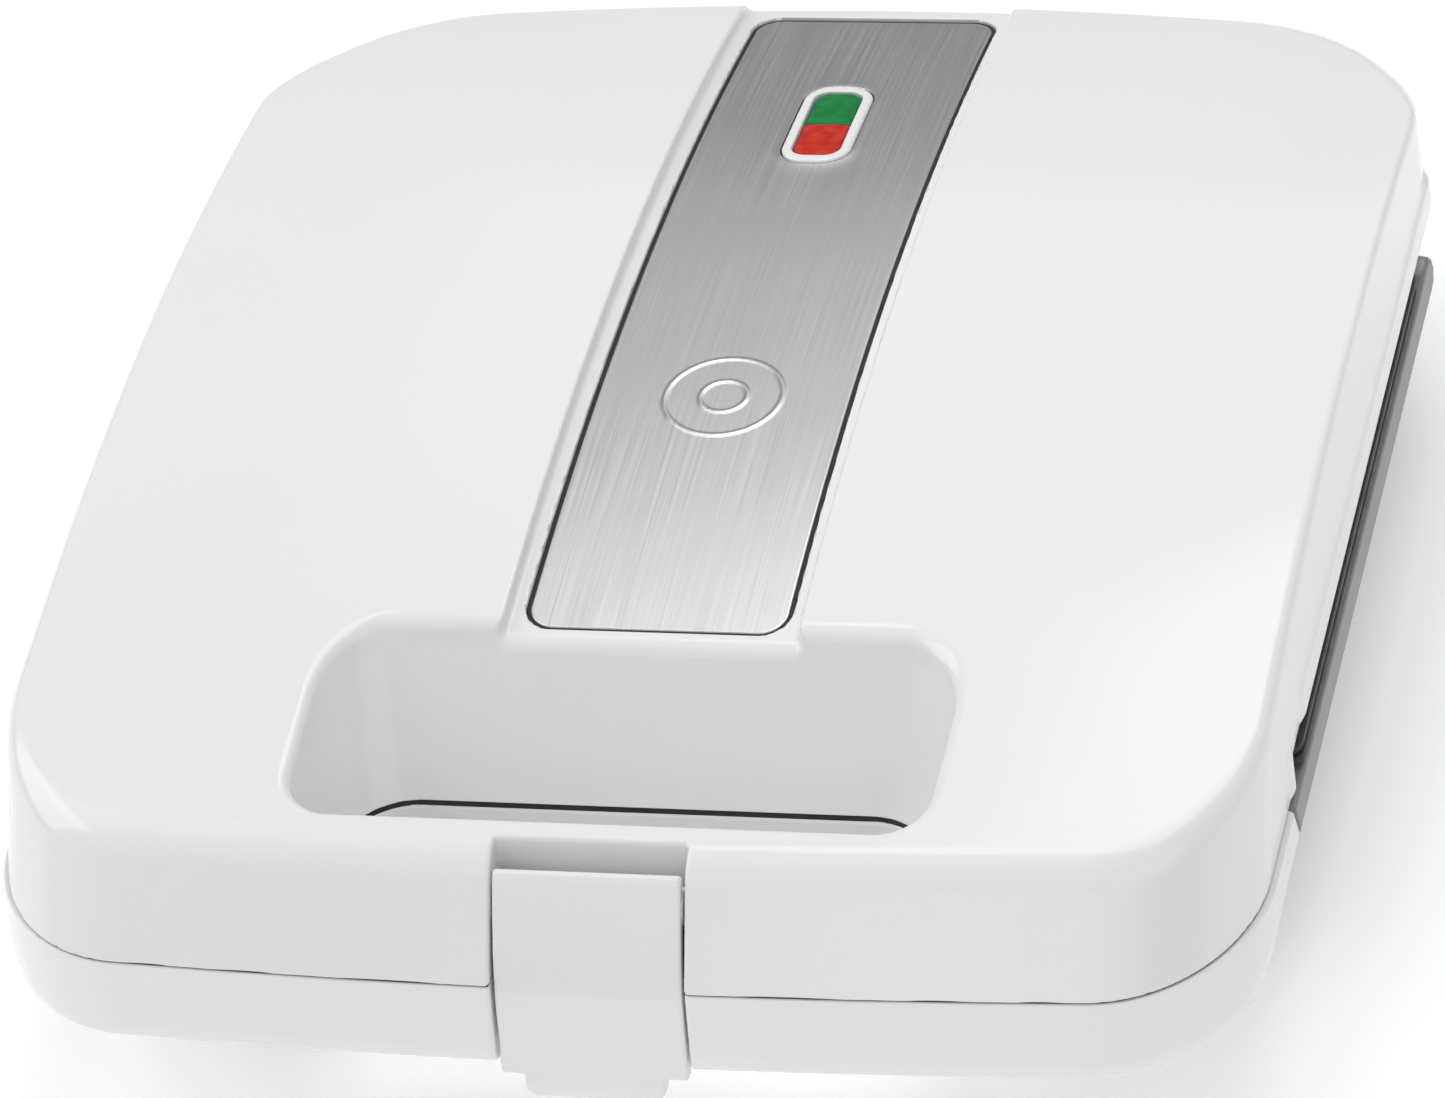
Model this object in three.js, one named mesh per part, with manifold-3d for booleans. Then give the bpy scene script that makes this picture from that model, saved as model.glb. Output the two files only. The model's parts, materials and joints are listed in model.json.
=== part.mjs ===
// Donut maker: a hinged two-plate appliance with a front carry grip and a rocker latch.
// Millimetres, +Z up. X runs across, Y from the grip (front, -Y) to the hinge (rear, +Y).
// The origin is on the table, under the centre of the whole object.

import * as THREE from 'three';
import { mergeVertices } from 'three/addons/utils/BufferGeometryUtils.js';
import Module from 'manifold-3d';

const wasm = await Module();
wasm.setup();

// ---------------------------------------------------------------- driving dimensions

const GAP = 0.3; // least clearance between two pieces
const WALL = 2.5; // moulded wall thickness

const HALF_WIDTH = 115; // over the two rim bands, at the widest
const FRONT_Y = -135.1; // lid front at the parting plane
const REAR_Y = 139.8; // middle of the bowed rear
const FRONT_CORNER = 27; // plan radii
const REAR_CORNER = 40;
const FRONT_BOW = 1600; // radii of the gently bowed front and rear
const REAR_BOW = 500;

const FOOT_HEIGHT = 6;
const RIM_BOTTOM_Z = 22.5; // lower edge of the base's rim band
const BASE_TOP_Z = 37.6;
const LID_BOTTOM_Z = 38.4;
const SIDE_EDGE_Z = 43.8; // the lid's side walls stop here, above the plate edges
const GRIP_BACK_Y = -72.5; // the grip halves end here, the heated body begins
const BAND_FRONT_Y = -67; // the lid's rim band runs along the sides between these
const BAND_REAR_Y = 99;
const RIM_REAR_Y = 93; // rear end of the base's rim band, which is rounded off in side view
const RIM_REAR_ROUND = 14;
const BAND_CORNER = 7;
const BAND_TOP_Z = 50; // upper edge of the lid's band
const DECK_Y = 75.6; // the base's raised rear housing begins here, behind the plates
const DECK_Z = 43.2;

const ARCH_RADIUS = 584; // the lid arches gently from front to back
const ARCH_Y = 17;
const ARCH_Z = 68.7; // top of the channel floor
const WING_RISE = 2.8; // the wings stand this much above the channel
const WING_FLAT_Y = -66; // in front of this the wings run on straight

const CHANNEL_HALF = 27.5;
const INLAY_HALF = 23.6;
const INLAY_FRONT = -65.7;
const INLAY_REAR = 133.5;
const INLAY_RADIUS = 5;
const INLAY_THICK = 0.8;
const INLAY_BED = 1.6; // depth of the inlay's bed under the channel floor

const BEZEL = { y: 88, halfWidth: 6.8, halfLength: 15, height: 3.2 };
const LENS = { halfWidth: 4.5, halfLength: 12.4, height: 2.6 };

const PLATE = {
  halfWidth: 114.8, front: -69.5, rear: 74, corner: 4, thick: 2.4, lowerZ: 38.2, upperZ: 41.0,
};
const RING = { radius: 19, half: 10, depth: 10.5, wall: 2, pitchX: 68, pitchY: 63.5, y: 2.5 };
const ELEMENT = { radius: 3.2, x: 105.6, front: -64.8, rear: 69.6, corner: 12, gap: 15 };

const HINGE = { y: 134.8, z: 41.5, radius: 5, pin: 2, xs: [-58, 58], reach: 72 };
const LATCH = { half: 16.8, y: -123.4, z: 48.2, pin: 1.5, slot: 17.4, backY: -118.4 };
const GRIP_SCREW = { x: 84, y: -98, radius: 3 };

const COLOURS = {
  white: { color: 0xe9e9ea, roughness: 0.28, metalness: 0 },
  grey: { color: 0x8f9092, roughness: 0.45, metalness: 0 },
  rubber: { color: 0x242426, roughness: 0.85, metalness: 0 },
  steel: { color: 0xb4b5b8, roughness: 0.35, metalness: 1 },
  nonstick: { color: 0x2f2f31, roughness: 0.5, metalness: 0.3 },
  tin: { color: 0xa2a5a8, roughness: 0.45, metalness: 1 },
  element: { color: 0x4a4c4e, roughness: 0.5, metalness: 0.9 },
  ceramic: { color: 0xe6e2d6, roughness: 0.6, metalness: 0 },
  black: { color: 0x1b1b1d, roughness: 0.5, metalness: 0 },
  green: { color: 0x00823e, roughness: 0.2, metalness: 0 },
  red: { color: 0xc42a1e, roughness: 0.2, metalness: 0 },
  glass: { color: 0xd9c9b8, roughness: 0.1, metalness: 0 },
};

// ---------------------------------------------------------------- solids

function solid(geometry) {
  const bare = geometry.index ? geometry.toNonIndexed() : geometry.clone();
  bare.deleteAttribute('normal');
  bare.deleteAttribute('uv');
  const merged = mergeVertices(bare, 1e-4);
  const mesh = new wasm.Mesh({
    numProp: 3,
    vertProperties: new Float32Array(merged.attributes.position.array),
    triVerts: new Uint32Array(merged.index.array),
  });
  return new wasm.Manifold(mesh);
}

function geometryOf(manifold) {
  const mesh = manifold.getMesh();
  const geometry = new THREE.BufferGeometry();
  const positions = new Float32Array(mesh.vertProperties);
  geometry.setAttribute('position', new THREE.BufferAttribute(positions, 3));
  geometry.setIndex(new THREE.BufferAttribute(new Uint32Array(mesh.triVerts), 1));
  geometry.computeVertexNormals();
  return geometry;
}

const group = new THREE.Group();

function add(name, manifold, finish) {
  const material = new THREE.MeshStandardMaterial(COLOURS[finish]);
  const mesh = new THREE.Mesh(geometryOf(manifold), material);
  mesh.name = name;
  group.add(mesh);
}

function box(x0, x1, y0, y1, z0, z1) {
  const geometry = new THREE.BoxGeometry(x1 - x0, y1 - y0, z1 - z0);
  geometry.translate((x0 + x1) / 2, (y0 + y1) / 2, (z0 + z1) / 2);
  return solid(geometry);
}

// A round bar or boss: "axis" is 'x' or 'z'.
function rod(axis, radius, from, to, a, b, segments = 20) {
  const geometry = new THREE.CylinderGeometry(radius, radius, to - from, segments);
  const middle = (from + to) / 2;
  if (axis === 'x') {
    geometry.rotateZ(Math.PI / 2);
    geometry.translate(middle, a, b);
  } else {
    geometry.rotateX(Math.PI / 2);
    geometry.translate(a, b, middle);
  }
  return solid(geometry);
}

function prism(shape, depth, curveSegments = 5) {
  return new THREE.ExtrudeGeometry(shape, { depth, bevelEnabled: false, curveSegments });
}

function roundedRect(x0, x1, y0, y1, radius) {
  const shape = new THREE.Shape();
  shape.moveTo(x0 + radius, y0);
  shape.lineTo(x1 - radius, y0);
  shape.absarc(x1 - radius, y0 + radius, radius, -Math.PI / 2, 0);
  shape.lineTo(x1, y1 - radius);
  shape.absarc(x1 - radius, y1 - radius, radius, 0, Math.PI / 2);
  shape.lineTo(x0 + radius, y1);
  shape.absarc(x0 + radius, y1 - radius, radius, Math.PI / 2, Math.PI);
  shape.lineTo(x0, y0 + radius);
  shape.absarc(x0 + radius, y0 + radius, radius, Math.PI, Math.PI * 1.5);
  return shape;
}

function plate(x0, x1, y0, y1, radius, z0, z1, curveSegments = 5) {
  const geometry = prism(roundedRect(x0, x1, y0, y1, radius), z1 - z0, curveSegments);
  geometry.translate(0, 0, z0);
  return solid(geometry);
}

// A side profile, given as [y, z] points, carried across from x0 to x1.
function across(points, x0, x1) {
  const shape = new THREE.Shape(points.map(([y, z]) => new THREE.Vector2(y, z)));
  const geometry = prism(shape, x1 - x0);
  // The shape's x becomes Y, its y becomes Z and its depth becomes X.
  const basis = new THREE.Matrix4().makeBasis(
    new THREE.Vector3(0, 1, 0), new THREE.Vector3(0, 0, 1), new THREE.Vector3(1, 0, 0));
  geometry.applyMatrix4(basis);
  geometry.translate(x0, 0, 0);
  return solid(geometry);
}

// Stations along half an outline that is mirrored in X, from front centre to rear centre.
function halfPlan({ side, front, rear, frontCorner, rearCorner, steps }) {
  const points = [];
  const flat = side - frontCorner;
  for (const part of [0, 0.5, 1]) {
    const x = part * flat;
    points.push([x, front + (x * x) / (2 * FRONT_BOW)]);
  }
  const bowed = points[2][1];
  for (let i = 1; i <= 5; i += 1) {
    const angle = (i / 5) * (Math.PI / 2);
    points.push([flat + frontCorner * Math.sin(angle), bowed + frontCorner * (1 - Math.cos(angle))]);
  }
  const rearFlat = side - rearCorner;
  const rearAt = (x) => rear - (x * x) / (2 * REAR_BOW);
  const from = bowed + frontCorner;
  const to = rearAt(rearFlat) - rearCorner;
  for (let i = 1; i <= steps; i += 1) points.push([side, from + ((to - from) * i) / steps]);
  for (let i = 1; i <= 5; i += 1) {
    const angle = (i / 5) * (Math.PI / 2);
    points.push([rearFlat + rearCorner * Math.cos(angle), to + rearCorner * Math.sin(angle)]);
  }
  for (const part of [0.6, 0.3, 0]) points.push([part * rearFlat, rearAt(part * rearFlat)]);
  return points;
}

// A closed body through mirrored rings. Each end is capped in rows across X, so a cap may arch.
function loft(rings) {
  const rows = rings[0].length;
  const count = 2 * rows - 2;
  const mirror = (i) => (i === 0 || i === rows - 1 ? i : count - i);
  const positions = [];
  for (const half of rings) {
    for (let i = 0; i < count; i += 1) {
      const [x, y, z] = half[i < rows ? i : count - i];
      positions.push(i < rows ? x : -x, y, z);
    }
  }
  const index = [];
  const last = (rings.length - 1) * count;
  for (let k = 0; k + 1 < rings.length; k += 1) {
    for (let i = 0; i < count; i += 1) {
      const j = (i + 1) % count;
      const a = k * count + i;
      const b = k * count + j;
      index.push(a, b, b + count, a, b + count, a + count);
    }
  }
  for (let i = 0; i + 1 < rows; i += 1) {
    const right = [i, i + 1];
    const left = [mirror(i), mirror(i + 1)];
    const quads = [[left[0], right[0], right[1]], [left[0], right[1], left[1]]];
    for (const [a, b, c] of quads) {
      if (a === b || b === c || a === c) continue;
      index.push(last + a, last + b, last + c, a, c, b);
    }
  }
  const geometry = new THREE.BufferGeometry();
  geometry.setAttribute('position', new THREE.Float32BufferAttribute(positions, 3));
  geometry.setIndex(index);
  return solid(geometry);
}

// One ring of the body: inset at the sides, front and rear, at a height that may depend on y.
function bodyRing({ side = 0, front = 0, rear = 0, grow = 0, steps = 8, height }) {
  const half = halfPlan({
    side: HALF_WIDTH - side + grow,
    front: FRONT_Y + front - grow,
    rear: REAR_Y - rear + grow,
    frontCorner: FRONT_CORNER + grow - side / 2,
    rearCorner: REAR_CORNER + grow - side / 2,
    steps,
  });
  return half.map(([x, y]) => [x, y, typeof height === 'function' ? height(y) : height]);
}

function channelZ(y) {
  return ARCH_Z - ((y - ARCH_Y) ** 2) / (2 * ARCH_RADIUS);
}

function wingZ(y) {
  const edge = channelZ(WING_FLAT_Y) + WING_RISE;
  const slope = (ARCH_Y - WING_FLAT_Y) / ARCH_RADIUS;
  return y < WING_FLAT_Y ? edge - slope * (WING_FLAT_Y - y) : channelZ(y) + WING_RISE;
}

// The arch as a side profile between two stations, dropped by "below", thick or closed at "top".
function archBand(y0, y1, below, top, steps = 10) {
  const lower = [];
  for (let i = 0; i <= steps; i += 1) {
    const y = y0 + ((y1 - y0) * i) / steps;
    lower.push([y, channelZ(y) - below]);
  }
  const upper = typeof top === 'number' ? [[y1, top], [y0, top]] : lower.map(top).reverse();
  return lower.concat(upper);
}

// ---------------------------------------------------------------- shared outlines

// Finger opening: a funnel whose rear wall leans forward as it goes down.
function gripOpening(grow, z0, z1) {
  const stations = [
    { z: 22, half: 53, front: -112, rear: -90.5 },
    { z: 38, half: 54, front: -112, rear: -86.8 },
    { z: 61, half: 58, front: -114, rear: -70.5 },
    { z: 75, half: 60, front: -115, rear: -62 },
  ];
  const corner = 8 + grow;
  const back = 12 + grow;
  const rings = stations.map(({ z, half, front, rear }) => {
    const points = [[0, front - grow]];
    for (let i = 0; i <= 3; i += 1) {
      const angle = (i / 3) * (Math.PI / 2);
      points.push([
        half + grow - corner + corner * Math.sin(angle),
        front - grow + corner * (1 - Math.cos(angle)),
      ]);
    }
    for (let i = 0; i <= 3; i += 1) {
      const angle = (i / 3) * (Math.PI / 2);
      points.push([
        half + grow - back + back * Math.cos(angle),
        rear + grow - back + back * Math.sin(angle),
      ]);
    }
    points.push([0, rear + grow]);
    return points.map(([x, y]) => [x, y, z]);
  });
  return loft(rings).intersect(box(-70, 70, -130, -50, z0, z1));
}

const FAR = 200;

function behindGrip(y) {
  return box(-FAR, FAR, y, FAR, -FAR, FAR);
}

function inFrontOfGrip(y) {
  return box(-FAR, FAR, -FAR, y, -FAR, FAR);
}

// Tips a level piece about the middle of the indicator, so that it lies along the arch there.
function onSlope(piece) {
  const z = channelZ(BEZEL.y);
  const tilt = (Math.atan((BEZEL.y - ARCH_Y) / ARCH_RADIUS) * 180) / Math.PI;
  return piece.translate([0, -BEZEL.y, -z]).rotate([-tilt, 0, 0]).translate([0, BEZEL.y, z]);
}

function bezelHole() {
  return onSlope(plate(
    -BEZEL.halfWidth - GAP, BEZEL.halfWidth + GAP,
    BEZEL.y - BEZEL.halfLength - GAP, BEZEL.y + BEZEL.halfLength + GAP, BEZEL.halfWidth - 1, 50, 90, 4));
}

// ---------------------------------------------------------------- lid

function lidOuter() {
  const profile = [
    { level: 0, side: 1.2, front: 0, rear: 0 },
    { level: 0.3, side: 1.2, front: 2.6, rear: 0 },
    { level: 0.85, side: 3.0, front: 9.8, rear: 2.0 },
    { level: 0.95, side: 4.8, front: 12.2, rear: 4.0 },
    { level: 1, side: 9, front: 18, rear: 8.5 },
  ];
  const dome = loft(profile.map(({ level, side, front, rear }) => bodyRing({
    side,
    front,
    rear,
    height: (y) => LID_BOTTOM_Z + level * (wingZ(y) - LID_BOTTOM_Z),
  })));
  const half = HALF_WIDTH - 0.4;
  const band = plate(-half, half, BAND_FRONT_Y, BAND_REAR_Y, BAND_CORNER, SIDE_EDGE_Z - 1, BAND_TOP_Z, 4);
  const ears = plate(-half, half, GRIP_BACK_Y - 5.5, GRIP_BACK_Y, 2.5, LID_BOTTOM_Z, BAND_TOP_Z - 3, 3);
  return dome.add(band).add(ears);
}

function lidCavity() {
  const low = LID_BOTTOM_Z - 1;
  const roof = (level) => (y) => low + level * (wingZ(y) - WING_RISE - WALL - low);
  return loft([
    bodyRing({ side: WALL + 1.4, front: WALL + 0.4, rear: WALL + 0.8, height: roof(0) }),
    bodyRing({ side: WALL + 3.0, front: WALL + 11, rear: WALL + 2.0, height: roof(0.82) }),
    bodyRing({ side: WALL + 7, front: WALL + 18, rear: WALL + 7, height: roof(1) }),
  ]);
}

function latchBay(z0, z1) {
  return box(-LATCH.slot, LATCH.slot, -FAR, LATCH.backY, z0, z1);
}

function hingeLug(x0, x1, z0, radius = HINGE.radius) {
  const body = rod('x', radius, x0, x1, HINGE.y, HINGE.z, 16);
  return body.add(box(x0, x1, HINGE.y - radius, HINGE.y + radius - 1.2, z0, HINGE.z));
}

function makeLid() {
  const walls = gripOpening(WALL, LID_BOTTOM_Z, 74)
    .add(box(-LATCH.slot - WALL, LATCH.slot + WALL, -FAR, LATCH.backY + WALL, LID_BOTTOM_Z, 74));
  const outer = lidOuter();
  let shell = outer.subtract(lidCavity().subtract(walls));
  shell = shell.subtract(gripOpening(0, 0, 75)).subtract(latchBay(0, 75));
  // The side walls stop above the plates and the base's rear housing; the rear wall reaches lower.
  shell = shell.subtract(box(-FAR, FAR, GRIP_BACK_Y, 128, 0, SIDE_EDGE_Z));
  for (const x of [-FAR, HINGE.reach]) {
    shell = shell.subtract(box(x, x + FAR - HINGE.reach, 127, FAR, 0, SIDE_EDGE_Z));
  }
  shell = shell.subtract(across(archBand(-76, 145, 0, 90), -CHANNEL_HALF, CHANNEL_HALF));
  const bedHalf = INLAY_HALF + 1;
  const bed = plate(-bedHalf, bedHalf, INLAY_FRONT - 1, INLAY_REAR + 1, INLAY_RADIUS + 1, 40, 90, 3);
  shell = shell.subtract(bed.intersect(across(archBand(-76, 145, INLAY_BED, 90), -40, 40)));
  shell = shell.subtract(bezelHole());

  for (const x of HINGE.xs) {
    // A notch lets the base's lug through, with a lid lug on either side of it.
    for (const [a, b] of [[x - 12.5, x - 6.6], [x + 6.6, x + 12.5]]) {
      const web = box(a, b, 128.5, HINGE.y + 2, HINGE.z - 1, 55).intersect(outer);
      shell = shell.add(hingeLug(a, b, HINGE.z - 1)).add(web);
    }
    shell = shell.subtract(box(x - 6.4, x + 6.4, 127.5, FAR, 0, HINGE.z + HINGE.radius + 1.5));
    shell = shell.subtract(rod('x', HINGE.pin + 0.15, x - 14, x + 14, HINGE.y, HINGE.z, 16));
  }
  for (const x of [-1, 1]) {
    // Cheeks that carry the ends of the latch pin.
    const inner = x * LATCH.slot;
    const outer = x * (LATCH.slot + WALL + 2);
    const reach = [Math.min(inner, outer), Math.max(inner, outer)];
    shell = shell.add(box(...reach, LATCH.y - 3, LATCH.backY, LATCH.z - 4, LATCH.z + 3));
  }
  const pinReach = LATCH.slot + 3.2;
  shell = shell.subtract(rod('x', LATCH.pin + 0.05, -pinReach, pinReach, LATCH.y, LATCH.z, 12));
  add('lid_shell', shell, 'white');
}

// A flat closing piece inside a grip half; its front edge follows the shell's slope.
function gripInsert(z0, z1, front0, front1) {
  const outline = loft([
    bodyRing({ side: 4.9, front: front0, height: z0 }),
    bodyRing({ side: 4.9, front: front1, height: z1 }),
  ]).intersect(inFrontOfGrip(GRIP_BACK_Y - 3));
  return outline.subtract(gripOpening(WALL + GAP, z0 - 1, z1 + 1));
}

// Two screws hold each insert; their heads lie in holes through it.
function addGripInsert(half, insert, z) {
  let body = insert;
  for (const side of [-1, 1]) {
    const at = [side * GRIP_SCREW.x, GRIP_SCREW.y];
    body = body.subtract(rod('z', GRIP_SCREW.radius + GAP, 0, 90, ...at, 16));
    const head = rod('z', GRIP_SCREW.radius, z + 0.4, z + 1.9, ...at, 12);
    add(`${half}_grip_screw_${side < 0 ? 'left' : 'right'}`, head, 'steel');
  }
  add(`${half}_grip_insert`, body, 'grey');
}

function makeLidInsert() {
  const half = LATCH.slot + WALL + 0.5;
  const bay = box(-half, half, -FAR, LATCH.backY + WALL + 0.5, 0, 75);
  const z = LID_BOTTOM_Z + 0.2;
  addGripInsert('lid', gripInsert(z, z + 2.2, 4.4, 6.4).subtract(bay), z);
}

// Closes the lid's underside between the upper plate and the hinge.
function makeRearPanel() {
  const outline = loft([SIDE_EDGE_Z + 0.4, SIDE_EDGE_Z + 2.2].map((height) => bodyRing({
    side: 5.6,
    front: 20,
    rear: 6,
    height,
  })));
  add('lid_rear_panel', outline.intersect(box(-FAR, FAR, DECK_Y, 126.8, 0, 60)), 'white');
}

function makeInlay() {
  const outline = plate(-INLAY_HALF, INLAY_HALF, INLAY_FRONT, INLAY_REAR, INLAY_RADIUS, 40, 90, 3);
  const lift = INLAY_BED - GAP;
  const band = archBand(-76, 145, lift, ([y, z]) => [y, z + INLAY_THICK]);
  add('steel_inlay', outline.intersect(across(band, -40, 40)).subtract(bezelHole()), 'steel');
}

function makeIndicator() {
  const top = channelZ(BEZEL.y) + 0.2;
  const ends = [BEZEL.y - BEZEL.halfLength, BEZEL.y + BEZEL.halfLength];
  const corner = BEZEL.halfWidth - 1.2;
  const body = plate(
    -BEZEL.halfWidth, BEZEL.halfWidth, ends[0], ends[1], corner, top - BEZEL.height, top, 4);
  const window = plate(
    -LENS.halfWidth - GAP, LENS.halfWidth + GAP,
    BEZEL.y - LENS.halfLength - GAP, BEZEL.y + LENS.halfLength + GAP, 3, 0, 90, 4);
  add('indicator_bezel', onSlope(body.subtract(window)), 'white');
  const lens = plate(
    -LENS.halfWidth, LENS.halfWidth, BEZEL.y - LENS.halfLength, BEZEL.y + LENS.halfLength,
    2.8, top - 0.4 - LENS.height, top - 0.4, 4);
  add('green_lens', onSlope(lens.intersect(box(-FAR, FAR, BEZEL.y + GAP / 2, FAR, 0, FAR))), 'green');
  add('red_lens', onSlope(lens.intersect(box(-FAR, FAR, -FAR, BEZEL.y - GAP / 2, 0, FAR))), 'red');

  // Lamp holder under the lenses, hanging between the shell and the heat shield.
  const floor = channelZ(ends[1] + 2) - WALL - 2 * GAP;
  const holder = box(-9, 9, ends[0] - 2, ends[1] + 2, floor - 1.6, floor);
  add('lamp_holder', holder.subtract(box(-3, 3, BEZEL.y - 11, BEZEL.y + 11, 0, 90)), 'ceramic');
  add('neon_lamp_green', rod('x', 1.2, -2.6, 2.6, BEZEL.y + 6, floor - 0.2, 12), 'glass');
  add('neon_lamp_red', rod('x', 1.2, -2.6, 2.6, BEZEL.y - 6, floor - 0.2, 12), 'glass');
}

// ---------------------------------------------------------------- baking plates and heating

const RING_CENTRES = [];
for (const row of [-0.5, 0.5]) {
  for (const column of [-1, 0, 1]) {
    RING_CENTRES.push([column * RING.pitchX, RING.y + row * RING.pitchY]);
  }
}

function ringOfRevolution(profile) {
  const points = profile.map(([r, z]) => new THREE.Vector2(r, z)).reverse();
  points.push(points[0].clone());
  const geometry = new THREE.LatheGeometry(points, 16);
  geometry.rotateX(Math.PI / 2); // the lathe's axis becomes Z
  return geometry;
}

function halfRound(radius, half, depth, top) {
  const points = [[radius - half, top], [radius + half, top]];
  for (let i = 0; i <= 4; i += 1) {
    const angle = (i / 4) * Math.PI;
    points.push([radius + half * Math.cos(angle), -depth * Math.sin(angle)]);
  }
  return points;
}

// The lower plate, face up at z = 0. The upper plate is the same casting turned over.
function bakingPlate() {
  const groove = solid(ringOfRevolution(halfRound(RING.radius, RING.half, RING.depth, 3)));
  const outer = halfRound(RING.radius, RING.half + RING.wall, RING.depth + RING.wall, -1);
  const mould = solid(ringOfRevolution(outer.slice(0, 2).concat(outer.slice(3, -1))));
  const { halfWidth, front, rear, corner, thick } = PLATE;
  let body = plate(-halfWidth, halfWidth, front, rear, corner, -thick, 0, 3);
  for (const [x, y] of RING_CENTRES) body = body.add(mould.translate([x, y, 0]));
  for (const [x, y] of RING_CENTRES) body = body.subtract(groove.translate([x, y, 0]));
  return body;
}

function heatingLoop(z) {
  const { x, front, rear, corner, gap } = ELEMENT;
  const path = new THREE.CurvePath();
  const at = (px, py) => new THREE.Vector3(px, py, z);
  const line = (a, b) => path.add(new THREE.LineCurve3(a, b));
  const bend = (a, c, b) => path.add(new THREE.QuadraticBezierCurve3(a, c, b));
  line(at(-gap, rear), at(-x + corner, rear));
  bend(at(-x + corner, rear), at(-x, rear), at(-x, rear - corner));
  line(at(-x, rear - corner), at(-x, front + corner));
  bend(at(-x, front + corner), at(-x, front), at(-x + corner, front));
  line(at(-x + corner, front), at(x - corner, front));
  bend(at(x - corner, front), at(x, front), at(x, front + corner));
  line(at(x, front + corner), at(x, rear - corner));
  bend(at(x, rear - corner), at(x, rear), at(x - corner, rear));
  line(at(x - corner, rear), at(gap, rear));
  const section = new THREE.Shape();
  section.absarc(0, 0, ELEMENT.radius, 0, Math.PI * 2);
  const geometry = new THREE.ExtrudeGeometry(section, { extrudePath: path, steps: 36, curveSegments: 4 });
  return solid(geometry);
}

function makePlates() {
  const lowerTop = PLATE.lowerZ + PLATE.thick;
  const lower = bakingPlate();
  add('lower_baking_plate', lower.translate([0, 0, lowerTop]), 'nonstick');
  add('upper_baking_plate', lower.mirror([0, 0, 1]).translate([0, 0, PLATE.upperZ]), 'nonstick');

  const reach = ELEMENT.radius + PLATE.thick + GAP;
  add('lower_heating_element', heatingLoop(lowerTop - reach), 'element');
  add('upper_heating_element', heatingLoop(PLATE.upperZ + reach), 'element');

  add('lower_heat_shield', plate(-86, 86, -60, 66, 12, 24, 24.8, 3), 'tin');
  add('upper_heat_shield', plate(-98, 98, -60, 66, 12, 56.4, 57.1, 3), 'tin');

  // The thermostat and the fuse sit in the two gaps between the four outer moulds.
  const between = RING.pitchX / 2;
  const tabs = box(between - 3, between + 3, RING.y - 6, RING.y + 6, 26.5, 29);
  add('thermostat', rod('z', 8, 28.5, 37.6, between, RING.y, 16).add(tabs), 'ceramic');
  add('thermal_fuse', rod('x', 2.2, -between - 10, -between + 10, RING.y, 34, 10), 'tin');
}

// ---------------------------------------------------------------- base

function baseBody(inset) {
  const profile = [
    { side: 24, rear: 24, height: 8.6 },
    { side: 5.5, rear: 6, height: RIM_BOTTOM_Z - 1 },
    { side: 2.4, rear: 3.4, height: RIM_BOTTOM_Z + 2 },
    { side: 2, rear: 3.2, height: DECK_Z },
  ];
  return loft(profile.map(({ side, rear, height }) => bodyRing({
    side: side + inset,
    rear: rear + inset,
    front: 10,
    height,
  })));
}

// Everything behind the grip: the front wall drops straight, then slopes back under the body.
function behindFrontWall(inset) {
  const y = GRIP_BACK_Y + inset;
  return across([[y, 60], [y, RIM_BOTTOM_Z - 1], [y + 16, 5], [FAR, 5], [FAR, 60]], -FAR, FAR);
}

// The rim band and cheeks as seen from the side, with the upper rear corner rounded off.
function rimSideView() {
  const points = [[-FAR, 0], [RIM_REAR_Y, 0]];
  for (let i = 0; i <= 4; i += 1) {
    const angle = (i / 4) * (Math.PI / 2);
    points.push([
      RIM_REAR_Y - RIM_REAR_ROUND * (1 - Math.cos(angle)),
      DECK_Z - RIM_REAR_ROUND * (1 - Math.sin(angle)),
    ]);
  }
  points.push([-FAR, DECK_Z]);
  return across(points, -FAR, FAR);
}

function makeBaseShell() {
  const inner = baseBody(WALL).intersect(behindFrontWall(WALL));
  const well = inner.intersect(box(-FAR, FAR, -FAR, DECK_Y, 11, FAR));
  const housing = inner.intersect(box(-FAR, FAR, DECK_Y - 1, FAR, 11, DECK_Z - WALL));
  const band = plate(
    -HALF_WIDTH, HALF_WIDTH, GRIP_BACK_Y - 30, RIM_REAR_Y, BAND_CORNER, RIM_BOTTOM_Z, BASE_TOP_Z, 4);
  const cheek = HALF_WIDTH - 0.8;
  const cheeks = plate(-cheek, cheek, DECK_Y, RIM_REAR_Y, 5, BASE_TOP_Z - 1, DECK_Z, 3);
  const rim = band.add(cheeks).intersect(rimSideView());
  let shell = baseBody(0).subtract(box(-FAR, FAR, -FAR, DECK_Y, BASE_TOP_Z, FAR)).add(rim);
  shell = shell.intersect(behindFrontWall(0)).subtract(well).subtract(housing);
  shell = shell.subtract(plate(-80, 80, -44, 100, 10, 0, 12, 3));
  // The housing's rear edge is cut down so that the lid's rear wall can swing in.
  shell = shell.subtract(box(-HINGE.reach - 1, HINGE.reach + 1, 127.4, FAR, 35, 60));
  for (const x of HINGE.xs) {
    shell = shell.subtract(box(x - 14, x + 14, 127.4, FAR, 33.5, 60));
    const lug = hingeLug(x - 6, x + 6, 30).add(box(x - 6, x + 6, 129.6, HINGE.y + 3, 30, 36));
    shell = shell.add(lug);
    shell = shell.subtract(rod('x', HINGE.pin + 0.15, x - 14, x + 14, HINGE.y, HINGE.z, 16));
  }
  // Cord inlet in the rear wall.
  shell = shell.subtract(box(-7.3, 7.3, 120, FAR, 23.9, 33.5));
  add('base_shell', shell, 'grey');
}

function makeBottomCover() {
  let cover = plate(-88, 88, -52, 110, 12, FOOT_HEIGHT + 0.3, 8.3);
  for (const y of [-10, 6, 22, 38, 54]) cover = cover.subtract(box(-22, 22, y, y + 4, 0, 12));
  add('bottom_cover', cover, 'grey');
}

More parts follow.
